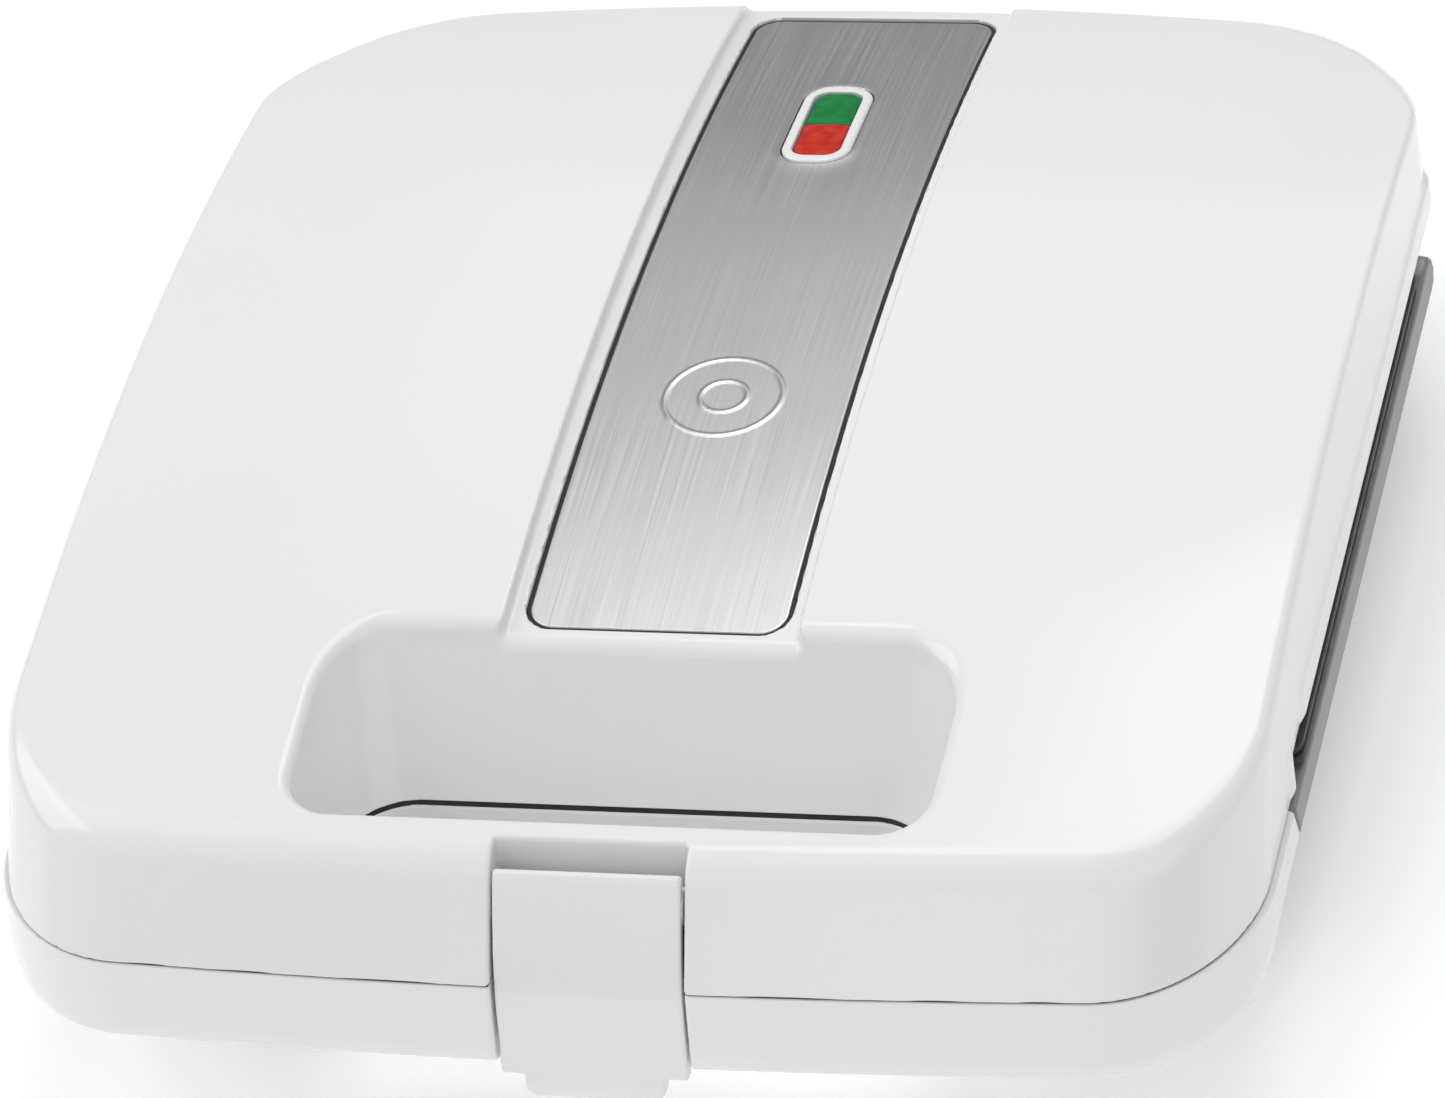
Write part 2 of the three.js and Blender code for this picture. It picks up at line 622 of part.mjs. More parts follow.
function makeGripCover() {
  const rim = [
    { side: 4, front: 0.6, height: RIM_BOTTOM_Z },
    { side: 1.9, front: -3.0, height: RIM_BOTTOM_Z + 1.6 },
    { side: 1.3, front: -2.6, height: RIM_BOTTOM_Z + 5 },
    { side: 0.5, front: 0, height: BASE_TOP_Z },
  ];
  const outer = loft(rim.map((ring) => bodyRing(ring))).intersect(inFrontOfGrip(GRIP_BACK_Y - GAP));
  const cavity = loft([
    bodyRing({ side: 5, front: 1.5, height: RIM_BOTTOM_Z + WALL }),
    bodyRing({ side: 3.3, front: 2.6, height: BASE_TOP_Z + 1 }),
  ]).intersect(inFrontOfGrip(GRIP_BACK_Y - GAP - WALL));
  const bay = box(-LATCH.slot, LATCH.slot, -FAR, -130.5, 0, 60);
  const bayWalls = box(-LATCH.slot - WALL, LATCH.slot + WALL, -FAR, -130.5 + WALL, 0, 60);
  let cover = outer.subtract(cavity.subtract(gripOpening(WALL, 0, 60)).subtract(bayWalls));
  cover = cover.subtract(gripOpening(0, 0, 60)).subtract(bay);
  // The catch: a ledge across the bay that the latch's nib snaps behind.
  cover = cover.add(across([[-130.2, 33.5], [-132.6, 31.5], [-132.6, 30], [-130.2, 30]], -12, 12));
  add('lower_grip_cover', cover, 'white');
  const half = LATCH.slot + WALL + 0.5;
  const notch = box(-half, half, -FAR, -130.5 + WALL + GAP, 0, 60);
  const z = BASE_TOP_Z - 2.6;
  addGripInsert('lower', gripInsert(z, z + 2.2, 3.2, 3.2).subtract(notch), z);
}

function makeFeetAndFasteners() {
  const spots = {
    front_left: [-66, -34],
    front_right: [66, -34],
    rear_left: [-66, 92],
    rear_right: [66, 92],
  };
  for (const [place, [x, y]] of Object.entries(spots)) {
    add(`foot_${place}`, rod('z', 9, 0, FOOT_HEIGHT, x, y, 20), 'rubber');
  }
  for (const side of [-1, 1]) {
    for (const [end, y] of [['front', -46], ['rear', 104]]) {
      const name = `bottom_screw_${end}_${side < 0 ? 'left' : 'right'}`;
      add(name, rod('z', 2.8, 4.4, 6, side * 78, y, 12), 'steel');
    }
  }
  for (const side of [-1, 1]) {
    for (const [end, y] of [['front', RING.y - 8], ['rear', RING.y + 8]]) {
      const name = `plate_screw_${end}_${side < 0 ? 'left' : 'right'}`;
      const x = (side * RING.pitchX) / 2;
      add(name, rod('z', 2.4, PLATE.upperZ + PLATE.thick + GAP, 52, x, y, 12), 'steel');
    }
  }
}

function makeWiring() {
  const block = box(-20, 20, 92, 104, 12, 21);
  add('terminal_block', block.subtract(box(-16, 16, 96, 100, 15, 30)), 'ceramic');
  const wall = REAR_Y - 3.1;
  const flange = box(-9.5, 9.5, wall, wall + 1.8, 22.6, 34.8);
  const neck = box(-7, 7, wall - 5.5, wall + 1, 24.2, 33.2);
  add('cord_inlet_bush', flange.add(neck).subtract(box(-4, 4, 100, FAR, 26, 31.4)), 'black');
}

// ---------------------------------------------------------------- hinge pins and latch

function makePins() {
  for (const x of HINGE.xs) {
    const name = `hinge_pin_${x < 0 ? 'left' : 'right'}`;
    add(name, rod('x', HINGE.pin + 0.05, x - 12.4, x + 12.4, HINGE.y, HINGE.z, 16), 'steel');
  }
  const reach = LATCH.slot + 3;
  add('latch_pin', rod('x', LATCH.pin - 0.05, -reach, reach, LATCH.y, LATCH.z, 12), 'steel');
}

function makeLatch() {
  const face = [
    [-123.6, 55.6], [-125.9, 53.2], [-134.6, 38], [-137.6, 24], [-139.8, 17.5],
    [-138.2, 16], [-136.2, 18], [-134.6, 24.5], [-131.9, 38], [-124.4, 51.4], [-122.4, 53.8],
  ];
  let clip = across(face, -LATCH.half, LATCH.half);
  // The pull lip is narrower than the clip.
  for (const [a, b] of [[-FAR, -12.6], [12.6, FAR]]) clip = clip.subtract(box(a, b, -FAR, 0, 0, 21.5));
  // Pivot boss.
  clip = clip.add(rod('x', 3.4, -LATCH.half, LATCH.half, LATCH.y, LATCH.z, 14));
  clip = clip.subtract(rod('x', LATCH.pin + 0.1, -30, 30, LATCH.y, LATCH.z, 12));
  // The nib stands just in front of the catch's ledge.
  const nib = [[-133.6, 29.4], [-132.95, 29.4], [-132.95, 27.6], [-134.4, 26.4], [-135.4, 28]];
  clip = clip.add(across(nib, -11, 11));
  add('latch_clip', clip, 'white');
}

makeLid();
makeLidInsert();
makeRearPanel();
makeInlay();
makeIndicator();
makePlates();
makeBaseShell();
makeBottomCover();
makeGripCover();
makeFeetAndFasteners();
makeWiring();
makePins();
makeLatch();

export default group;
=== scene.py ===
"""Looks for the donut maker: smooth moulded shells, procedural materials, a pale studio, a camera.

Each shell is a signed distance field in millimetres, negative inside, turned into a mesh with
rounded edges. The meshes are in metres, in the CAD frame: X across, Y from grip to hinge, Z up.
"""

import json
import math

import bpy
import numpy as np
from mathutils import Matrix, Vector


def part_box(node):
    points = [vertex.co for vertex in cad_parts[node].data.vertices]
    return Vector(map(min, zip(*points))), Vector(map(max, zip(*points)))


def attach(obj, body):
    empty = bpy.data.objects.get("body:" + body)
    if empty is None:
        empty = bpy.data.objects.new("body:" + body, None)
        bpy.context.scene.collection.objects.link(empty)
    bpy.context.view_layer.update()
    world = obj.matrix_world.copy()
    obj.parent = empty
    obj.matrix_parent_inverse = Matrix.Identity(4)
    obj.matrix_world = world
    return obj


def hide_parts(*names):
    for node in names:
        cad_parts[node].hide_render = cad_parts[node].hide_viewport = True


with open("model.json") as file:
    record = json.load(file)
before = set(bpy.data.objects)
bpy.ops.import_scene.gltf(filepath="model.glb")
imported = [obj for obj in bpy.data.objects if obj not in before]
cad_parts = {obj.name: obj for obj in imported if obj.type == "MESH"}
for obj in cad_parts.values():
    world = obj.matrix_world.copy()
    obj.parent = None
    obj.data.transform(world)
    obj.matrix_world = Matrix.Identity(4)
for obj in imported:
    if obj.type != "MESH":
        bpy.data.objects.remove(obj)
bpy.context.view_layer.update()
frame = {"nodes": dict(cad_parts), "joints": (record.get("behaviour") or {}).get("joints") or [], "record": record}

# ---------------------------------------------------------------- driving dimensions (mm)

MM = 0.001
HINGE = {j["name"]: np.array(j["pos_m"]) / MM for j in frame["joints"]}


def extent(node):
    """Lowest and highest corner of a CAD node, in millimetres."""
    low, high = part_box(node)
    return np.array(low) / MM, np.array(high) / MM


HALF, _, BASE_TOP = extent("base_shell")[1]
REAR = extent("lid_shell")[1][1]
RIM_BOTTOM, RIM_TOP = (corner[2] for corner in extent("lower_grip_cover"))
LATCH_BOTTOM = extent("latch_clip")[0][2]
PLATE_LOW, PLATE_HIGH = extent("lower_baking_plate")
INLAY_LOW, INLAY_HIGH = extent("steel_inlay")
BEZEL_LOW, BEZEL_HIGH = extent("indicator_bezel")

GAP = 0.3
WALL = 2.5

# The outline from above: both ends are bowed, and the front leans back as it rises.
FRONT = -135.1
FRONT_CORNER, REAR_CORNER = 27.0, 40.0
FRONT_BOW, REAR_BOW = 1600.0, 500.0
FRONT_LEAN = math.radians(33)
LID_HALF, BAND_HALF, TUB_HALF = HALF - 1.0, HALF - 0.4, HALF - 4

# The parting: the lid's lower edge over the grip cover's rim, its higher one at the sides, and the
# leaning seam between the cover and the base.
LID_BOTTOM = RIM_TOP + 0.8
SIDE_EDGE = 43.8
GRIP_BACK = -72.5
SEAM_Y, SEAM_SLOPE = -79.5, 0.55

# The lid: its arch, the wings, the channel between them, and the band along each side.
ARCH_RADIUS, ARCH_Y, ARCH_Z = 584.0, 17.0, 68.7
WING_RISE, WING_FLAT = 2.8, -66.0
CHANNEL_HALF, CHANNEL_FRONT = 27.0, -78.0
BED_DEPTH, BED_MARGIN = 1.6, 0.9
BAND_FRONT, BAND_REAR, BAND_CORNER, BAND_TOP = -67.0, 99.0, 7.0, 50.0
BAY_HALF, BAY_BACK, CATCH_BACK = 17.4, -118.4, -130.5
GRIP_SCREW_X, GRIP_SCREW_Y = 84.0, -98.0
EMBLEM_Y, EMBLEM_RADII, EMBLEM_RIDGE = -4.0, (11.0, 4.4), 0.75

# The base: its rim band, the raised deck behind the plates, and the underside.
RIM_REAR, RIM_REAR_ROUND = 90.6, 19.6
DECK_Y, DECK_Z = 75.6, 43.2
TUB_BOTTOM, TUB_INSET, TUB_RISE = 8.6, 24.0, 12.9
FOOT_RADIUS = 9.0

# The hinge and the ring moulds.
REAR_WALL, LUG_X, LUG_REACH = 127.5, 58.0, 72.0
LUG_RADIUS, PIN_RADIUS = 5.0, 2.15
RING_RADIUS, RING_HALF, RING_DEPTH = 19.0, 10.0, 10.5
RING_PITCH_X, RING_PITCH_Y, RING_Y = 68.0, 63.5, 2.5

# ---------------------------------------------------------------- distance fields


def both(a, b, radius=0.0):
    """The solid inside a and b, with the edge between them rounded."""
    outer = np.maximum(a, b)
    if np.ndim(radius) == 0 and radius == 0:
        return outer
    corner = np.hypot(np.maximum(a + radius, 0), np.maximum(b + radius, 0))
    return np.minimum(-radius, outer) + corner


def either(a, b, radius=0.0):
    """The solid inside a or b, with a fillet where they meet."""
    return -both(-a, -b, radius)


def cut(a, b, radius=0.0):
    """Solid a with b taken away, and the new edge rounded."""
    return both(a, -b, radius)


def slab(v, low, high):
    """Everything between two levels of one coordinate."""
    return np.maximum(low - v, v - high)


def rect(u, v, low, high, radius):
    """A rectangle with round corners, in two of the coordinates."""
    return both(slab(u, low[0], high[0]), slab(v, low[1], high[1]), radius)


def polygon(u, v, corners):
    """Signed distance to a closed outline, in two of the coordinates."""
    nearest = np.full(np.broadcast(u, v).shape, 1e9)
    inside = np.zeros(nearest.shape, bool)
    for (u0, v0), (u1, v1) in zip(corners, corners[1:] + corners[:1]):
        du, dv = u1 - u0, v1 - v0
        along = np.clip(((u - u0) * du + (v - v0) * dv) / (du * du + dv * dv), 0, 1)
        nearest = np.minimum(nearest, np.hypot(u - u0 - along * du, v - v0 - along * dv))
        spans = (v0 > v) != (v1 > v)
        crossing = u0 + (v - v0) * du / (dv if dv else 1e-9)
        inside ^= spans & (u < crossing)
    return np.where(inside, -nearest, nearest)


def softened(corners, rounds=2):
    """An outline with its corners cut away twice over."""
    for _ in range(rounds):
        smooth = []
        for a, b in zip(corners, corners[1:] + corners[:1]):
            smooth.append((0.75 * a[0] + 0.25 * b[0], 0.75 * a[1] + 0.25 * b[1]))
            smooth.append((0.25 * a[0] + 0.75 * b[0], 0.25 * a[1] + 0.75 * b[1]))
        corners = smooth
    return corners


# ---------------------------------------------------------------- meshes from fields

SLOPE_REACH, NORMAL_REACH = 0.05, 0.08
LEAST_STEEPNESS = 0.04


def lines(start, *stretches):
    """Grid lines from start on, over stretches of (end, step)."""
    values = [start]
    for end, step in stretches:
        count = max(1, round((end - values[-1]) / step))
        values.extend(np.linspace(values[-1], end, count + 1)[1:])
    return np.array(values)


def mirrored(*stretches):
    half = lines(0.0, *stretches)
    return np.concatenate([-half[:0:-1], half])


def surface_net(field, grid):
    """Vertices and quads of the surface where the field crosses zero, one vertex for each cell."""
    xs, ys, zs = grid
    shape = (len(xs), len(ys), len(zs))
    cells = tuple(n - 1 for n in shape)
    values = np.broadcast_to(field(xs[:, None, None], ys[None, :, None], zs[None, None, :]), shape)
    total = cells[0] * cells[1] * cells[2]
    sums = np.zeros((4, total))
    quads = []
    for axis in range(3):
        low = [slice(None)] * 3
        high = [slice(None)] * 3
        low[axis] = slice(0, -1)
        high[axis] = slice(1, None)
        a, b = values[tuple(low)], values[tuple(high)]
        at = np.nonzero((a < 0) != (b < 0))
        share = a[at] / (a[at] - b[at])
        places = [line[i] for line, i in zip(grid, at)]
        step = grid[axis][at[axis] + 1] - grid[axis][at[axis]]
        places[axis] = places[axis] + share * step
        second, third = (axis + 1) % 3, (axis + 2) % 3
        around = []
        for back_second, back_third in ((1, 1), (0, 1), (0, 0), (1, 0)):
            index = list(at)
            index[second] = at[second] - back_second
            index[third] = at[third] - back_third
            cell = np.ravel_multi_index(index, cells)
            around.append(cell)
            for row, weight in enumerate((*places, None)):
                sums[row] += np.bincount(cell, weight, minlength=total)
        around = np.stack(around, axis=1)
        quads.append(np.where((a[at] < 0)[:, None], around, around[:, ::-1]))
    used = np.nonzero(sums[3])[0]
    number = np.full(total, -1)
    number[used] = np.arange(len(used))
    points = (sums[:3, used] / sums[3, used]).T
    return points, number[np.concatenate(quads)]


def gradient(field, points, reach):
    """The field's slope at each point, from differences over a reach either way."""
    x, y, z = points.T
    return np.stack([
        field(x + reach, y, z) - field(x - reach, y, z),
        field(x, y + reach, z) - field(x, y - reach, z),
        field(x, y, z + reach) - field(x, y, z - reach),
    ], axis=1) / (2 * reach)


def drawn_on(field, points, rounds=3, longest=0.5):
    """Moves each vertex along the field's gradient until it lies on the surface."""
    for _ in range(rounds):
        slope = gradient(field, points, SLOPE_REACH)
        steepness = np.maximum((slope ** 2).sum(axis=1), LEAST_STEEPNESS)
        move = slope * (field(*points.T) / steepness)[:, None]
        length = np.linalg.norm(move, axis=1)[:, None]
        points = points - move * np.minimum(1, longest / np.maximum(length, 1e-9))
    return points


def unit(vectors):
    return vectors / np.maximum(np.linalg.norm(vectors, axis=1)[:, None], 1e-9)


def new_mesh(name, points, faces, normals):
    mesh = bpy.data.meshes.new(name)
    mesh.from_pydata((points * MM).tolist(), [], faces.tolist())
    mesh.polygons.foreach_set("use_smooth", [True] * len(mesh.polygons))
    mesh.normals_split_custom_set_from_vertices(normals.tolist())
    thing = bpy.data.objects.new(name, mesh)
    bpy.context.scene.collection.objects.link(thing)
    return thing


def skin_mesh(name, field, grid, bend=None):
    """A field's surface as an object. A bend lifts it by a height that depends on y."""
    points, faces = surface_net(field, grid)
    points = drawn_on(field, points)
    normals = unit(gradient(field, points, NORMAL_REACH))
    if bend:
        height, slope = bend
        normals[:, 1] -= slope(points[:, 1]) * normals[:, 2]
        points[:, 2] += height(points[:, 1])
        normals = unit(normals)
    return new_mesh(name, points, faces, normals)


# ---------------------------------------------------------------- shared shapes


def channel_z(y):
    return ARCH_Z - (y - ARCH_Y) ** 2 / (2 * ARCH_RADIUS)


def channel_slope(y):
    return (ARCH_Y - y) / ARCH_RADIUS


ALONG_ARCH = (channel_z, channel_slope)


def wing_z(y):
    """The wings follow the arch, and run on straight in front of it."""
    level = channel_z(np.maximum(y, WING_FLAT)) + WING_RISE
    return level - channel_slope(WING_FLAT) * np.maximum(WING_FLAT - y, 0)


def plan(x, y, side, front, rear, front_corner=FRONT_CORNER, rear_corner=REAR_CORNER):
    """The body's outline from above, with bowed front and rear and four round corners."""
    beside = np.abs(x) - side
    before = (front + x * x / (2 * FRONT_BOW) - y) * math.cos(FRONT_LEAN)
    behind = y - rear + x * x / (2 * REAR_BOW)
    return np.maximum(both(beside, before, front_corner), both(beside, behind, rear_corner))


def grip_opening(x, y, z):
    """The finger opening, a funnel whose rear wall leans forward as it goes down."""
    stations = (22, 38, 61, 75)
    half = np.interp(z, stations, (53, 54, 58, 60))
    front = np.interp(z, stations, (-112, -112, -114, -115))
    rear = np.interp(z, stations, (-90.5, -86.8, -70.5, -62))
    steep = np.interp(z, stations, (0.97, 0.9, 0.82, 0.82))
    beside = np.abs(x) - half
    return np.maximum(both(beside, front - y, 9), both(beside, (y - rear) * steep, 13))


def latch_bay(x, y):
    """The slot in the lid's front for the latch."""
    return both(np.abs(x) - BAY_HALF, y - BAY_BACK, 0.8)


def catch_bay(x, y):
    """The shallower slot below it, in the grip cover."""
    return np.maximum(np.abs(x) - BAY_HALF, y - CATCH_BACK)


def hinge_axis(y, z):
    """Distances behind and above the lid's hinge axis."""
    _, axis_y, axis_z = HINGE["lid_hinge"]
    return y - axis_y, z - axis_z


def hinge_round(y, z, radius):
    return np.hypot(*hinge_axis(y, z)) - radius


# ---------------------------------------------------------------- lid


def lid_dome(x, y, z):
    """The lid as a full body. Its top edge is tight along the sides and softer at both ends."""
    rise = z - LID_BOTTOM
    front = FRONT + rise * math.tan(FRONT_LEAN)
    rear = REAR - 0.09 * np.maximum(rise - 8, 0)
    top = (z - wing_z(y)) / 1.01
    edge = np.interp(y, (-115, -40, 20, 92, 110), (3.6, 2.4, 1.4, 1.4, 4.8))
    return both(plan(x, y, LID_HALF, front, rear), top, edge)


def lid_shell(x, y, z):
    """The dome with its side bands, opened for the channel, fingers, latch, steel and indicator."""
    dome = lid_dome(x, y, z)
    opening = grip_opening(x, y, z)
    bay = latch_bay(x, y)
    band = rect(x, y, (-BAND_HALF, BAND_FRONT), (BAND_HALF, BAND_REAR), BAND_CORNER)
    band = both(band, slab(z, SIDE_EDGE - 2, BAND_TOP), 0.8)
    ears = rect(x, y, (-BAND_HALF, GRIP_BACK - 5.5), (BAND_HALF, GRIP_BACK), 2.5)
    ears = both(ears, slab(z, LID_BOTTOM, BAND_TOP - 3), 0.8)
    shell = either(dome, either(band, ears, 1.5), 0.7)

    floor = channel_z(y)
    channel = both(np.abs(x) - CHANNEL_HALF, floor - z, 0.8)
    channel = np.maximum(channel, CHANNEL_FRONT - y)
    shell = cut(shell, channel, 0.6)
    shell = cut(shell, opening, 1.8)
    shell = cut(shell, bay, 0.8)

    bed = rect(x, y, INLAY_LOW[:2] - BED_MARGIN, INLAY_HIGH[:2] + BED_MARGIN, 5 + BED_MARGIN)
    shell = cut(shell, np.maximum(bed, floor - BED_DEPTH - z), 0.25)
    shell = cut(shell, rect(x, y, BEZEL_LOW[:2] - GAP, BEZEL_HIGH[:2] + GAP, 6), 0.2)

    hollow = np.maximum(dome + WALL, z - (wing_z(y) - WING_RISE - WALL))
    hollow = np.maximum(hollow, np.maximum(WALL - opening, WALL - bay))
    shell = cut(shell, hollow, 0.3)

    lower_rear = np.maximum(np.abs(x) - LUG_REACH, REAR_WALL - y)
    beside_plates = np.maximum(np.maximum(GRIP_BACK - y, z - SIDE_EDGE), -lower_rear)
    shell = cut(shell, beside_plates, 0.7)
    lowest = LID_BOTTOM - 0.25 + 0.3 * np.clip(1 - opening / 6, 0, 1)
    shell = both(shell, lowest - z, 0.25)
    return with_lid_fittings(shell, dome, x, y, z)


def with_lid_fittings(shell, dome, x, y, z):
    """Hinge lugs at the rear, and the two cheeks that hold the latch pin."""
    beside_lug = np.abs(np.abs(x) - LUG_X)
    along, up = hinge_axis(y, z)
    web = np.maximum(slab(along, -6.3, 2), slab(up, -1, 13.5))
    lug = either(hinge_round(y, z, LUG_RADIUS), np.maximum(web, dome), 1.5)
    lug = both(lug, slab(beside_lug, 6.6, 12.5), 0.5)
    shell = either(shell, lug, 0.8)
    notch = np.maximum(beside_lug - 6.4, np.maximum(REAR_WALL - y, up - LUG_RADIUS - 1.5))
    shell = cut(shell, notch, 0.4)
    shell = cut(shell, np.maximum(hinge_round(y, z, PIN_RADIUS), beside_lug - 14), 0.3)

    _, latch_y, latch_z = HINGE["latch_pivot"]
    cheek = rect(y, z, (latch_y - 3, latch_z - 4), (BAY_BACK + 1, latch_z + 3), 1.5)
    cheek = np.maximum(cheek, slab(np.abs(x), BAY_HALF, BAY_HALF + 4.5))
    cheek = np.maximum(cheek, dome + 0.8)
    return either(shell, cheek, 0.3)


def lid_grid():
    xs = mirrored((15, 3), (19, 0.5), (22.5, 1.2), (29, 0.5), (48, 2.2), (62, 0.8), (98, 1.6),
                  (HALF + 2, 0.8))
    ys = lines(FRONT - 3, (-112, 0.8), (-94, 1.2), (-60, 0.7), (74, 2.6), (103, 0.9), (124, 1.1),
               (REAR + 2, 0.6))
    lowest = HINGE["lid_hinge"][2] - LUG_RADIUS - 1
    zs = lines(lowest, (LID_BOTTOM - 1, 0.6), (LID_BOTTOM + 0.6, 0.16), (52, 0.5),
               (ARCH_Z + WING_RISE + 2, 0.55))
    return xs, ys, zs


# ---------------------------------------------------------------- lower grip cover and base


def rim_side(y, z):
    """Half width of the rim band, which draws in towards its foot behind the front corners."""
    draft = np.interp(z, (22.5, 24, 26, 28, 30, RIM_TOP), (5.2, 3.2, 1.7, 0.8, 0.35, 0))
    return HALF - draft * np.interp(y, (-118, -86), (0.25, 1))


def seam(z):
    """At the sides the white cover meets the grey base along a leaning line."""
    return SEAM_Y + SEAM_SLOPE * (RIM_TOP - z)


def cover_outline(x, y, z):
    """The rim band around the grip. In front it is fuller near its foot, at the sides it draws in."""
    side = rim_side(y, z)
    front = np.interp(z, (22.5, 26, RIM_TOP), (FRONT - 2.9, FRONT - 2.7, FRONT))
    return plan(x, y, side, front, REAR)


def lower_grip_cover(x, y, z):
    """The lower half of the grip: a tray with the finger opening, the latch slot and its catch."""
    outline = cover_outline(x, y, z)
    opening = grip_opening(x, y, z)
    bay = catch_bay(x, y)
    rear_end = np.minimum(seam(z), GRIP_BACK - GAP)
    shell = both(outline, y - rear_end, 1.2)
    shell = both(shell, RIM_BOTTOM - z, 2.0)
    shell = both(shell, z - RIM_TOP - 0.15, 0.25)
    hollow = np.maximum(outline + WALL, RIM_BOTTOM + WALL - z)
    hollow = np.maximum(hollow, y - (rear_end - WALL))
    hollow = np.maximum(hollow, np.maximum(WALL - opening, WALL - bay))
    shell = cut(shell, hollow, 0.2)
    shell = cut(shell, opening, 0.8)
    shell = cut(shell, bay, 0.6)
    ledge = np.maximum(slab(z, 30, 33.5 + (y + 130.2) * 0.8), slab(y, -132.6, -129.6))
    return either(shell, np.maximum(ledge, np.abs(x) - 12), 0.2)


def grip_gap_painted_shade(x, y, z):
    """A black strip in the parting gap, behind the outer wall and around the finger opening: painted shade that
    darkens the gap.
    """
    outline = plan(x, y, LID_HALF, FRONT, REAR)
    opening = grip_opening(x, y, z)
    bay = catch_bay(x, y)
    edge = np.minimum(-outline, np.minimum(opening, bay))
    strip = np.maximum(slab(edge, 0.3, 2.2), y - SEAM_Y + 1)
    return both(strip, slab(z, RIM_TOP - 0.4, LID_BOTTOM + 0.3), 0.1)


def cover_grid():
    xs = mirrored((15, 3), (20, 0.5), (46, 2.5), (60, 1.0), (96, 2.5), (HALF + 2, 0.8))
    ys = lines(FRONT - 6, (-104, 0.8), (-84, 1.5), (GRIP_BACK + 1.5, 0.6))
    zs = lines(RIM_BOTTOM - 1.5, (RIM_TOP - 0.7, 0.5), (RIM_TOP + 0.6, 0.16))
    return xs, ys, zs


def under_slopes(x, y, z):
    """The underside rises outwards from the bottom cover on three sides."""
    def slope(outward, up, rise, run):
        return (outward * rise - up * run) / math.hypot(rise, run)

    side = slope(np.abs(x) - (HALF - TUB_INSET), z - TUB_BOTTOM, TUB_RISE, 18.5)
    rear = slope(y - (REAR - TUB_INSET), z - TUB_BOTTOM, TUB_RISE, 18)
    front = slope(GRIP_BACK - y, z - 21.5, 16.5, 16)
    return both(both(side, rear, 25), front, 6)


def base_shell(x, y, z):
    """The grey tub: sides and underside, the rim band, the rear deck and the hollows for the works."""
    body = plan(x, y, TUB_HALF, -200, REAR - 3.2)
    body = both(body, under_slopes(x, y, z), 4)
    hollow = np.maximum(body, GRIP_BACK - y) + WALL
    rim_side_view = both(y - RIM_REAR, z - DECK_Z, RIM_REAR_ROUND)
    band = both(np.abs(x) - rim_side(y, z), y - RIM_REAR, 3)
    band = both(band, slab(z, RIM_BOTTOM, RIM_TOP), 0.8)
    body = both(either(body, np.maximum(band, rim_side_view), 0.5), z - DECK_Z, 1.0)
    cheeks = rect(x, y, (0.8 - HALF, DECK_Y), (HALF - 0.8, RIM_REAR), 5)
    cheeks = both(cheeks, slab(z, RIM_TOP - 2, DECK_Z), 1.0)
    body = either(body, np.maximum(cheeks, rim_side_view), 0.4)
    body = cut(body, both(y - DECK_Y, RIM_TOP - z, 0.5), 0.8)
    front = np.where(np.abs(x) > HALF - 6, np.minimum(seam(z) + 0.15, GRIP_BACK), GRIP_BACK)
    body = both(body, front - y, 0.4)
    body = both(body, TUB_BOTTOM - z, 0.8)
    well = np.maximum(hollow, np.maximum(y - DECK_Y, 11 - z))
    housing = np.maximum(hollow, np.maximum(DECK_Y - 1 - y, slab(z, 11, DECK_Z - WALL)))
    shell = cut(body, np.minimum(well, housing), 0.3)
    shell = cut(shell, np.maximum(rect(x, y, (-80, -44), (80, 100), 10), z - 12), 0.3)
    return with_base_fittings(shell, x, y, z)


def with_base_fittings(shell, x, y, z):
    """The rear edge is cut down for the lid, the hinge lugs stand in it, the cord comes in."""
    beside_lug = np.abs(np.abs(x) - LUG_X)
    along, up = hinge_axis(y, z)
    behind = REAR_WALL - 0.1 - y
    swing = np.maximum(np.abs(x) - LUG_REACH - 1, np.maximum(behind, 35 - z))
    lugs_swing = np.maximum(beside_lug - 14, np.maximum(behind, 33.5 - z))
    shell = cut(shell, np.minimum(swing, lugs_swing), 0.6)
    web = np.maximum(slab(along, -5.2, 3.0), slab(up, -11.5, -1))
    lug = either(hinge_round(y, z, LUG_RADIUS), web, 1.5)
    shell = either(shell, both(lug, beside_lug - 6, 0.5), 0.8)
    shell = cut(shell, np.maximum(hinge_round(y, z, PIN_RADIUS), beside_lug - 14), 0.3)
    inlet = np.maximum(rect(x, z, (-7.3, 23.9), (7.3, 33.5), 1), 120 - y)
    return cut(shell, inlet, 0.3)


def base_grid():
    xs = mirrored((9, 0.9), (42, 2.5), (74, 0.9), (88, 2.0), (HALF + 2, 0.9))
    ys = lines(SEAM_Y - 1.5, (-54, 0.9), (70, 2.6), (100, 0.9), (122, 1.1), (REAR + 2, 0.7))
    zs = lines(6.5, (20, 1.0), (BASE_TOP + 2, 0.6))
    return xs, ys, zs


# ---------------------------------------------------------------- inserts, panels, covers, feet


def grip_insert(low, high, inset, bay_back):
    """A flat closing plate inside a grip half, with a hole for each screw head."""
    def field(x, y, z):
        outline = plan(x, y, HALF - 4.9, FRONT + inset, REAR)
        outline = np.maximum(outline, y - (GRIP_BACK - 3))
        body = both(outline, slab(z, low, high), 0.4)
        body = cut(body, grip_opening(x, y, z) - WALL - GAP, 0.3)
        body = cut(body, np.maximum(np.abs(x) - BAY_HALF - WALL - 0.5, y - bay_back), 0.3)
        return cut(body, np.hypot(np.abs(x) - GRIP_SCREW_X, y - GRIP_SCREW_Y) - 3.3, 0.3)
    return field


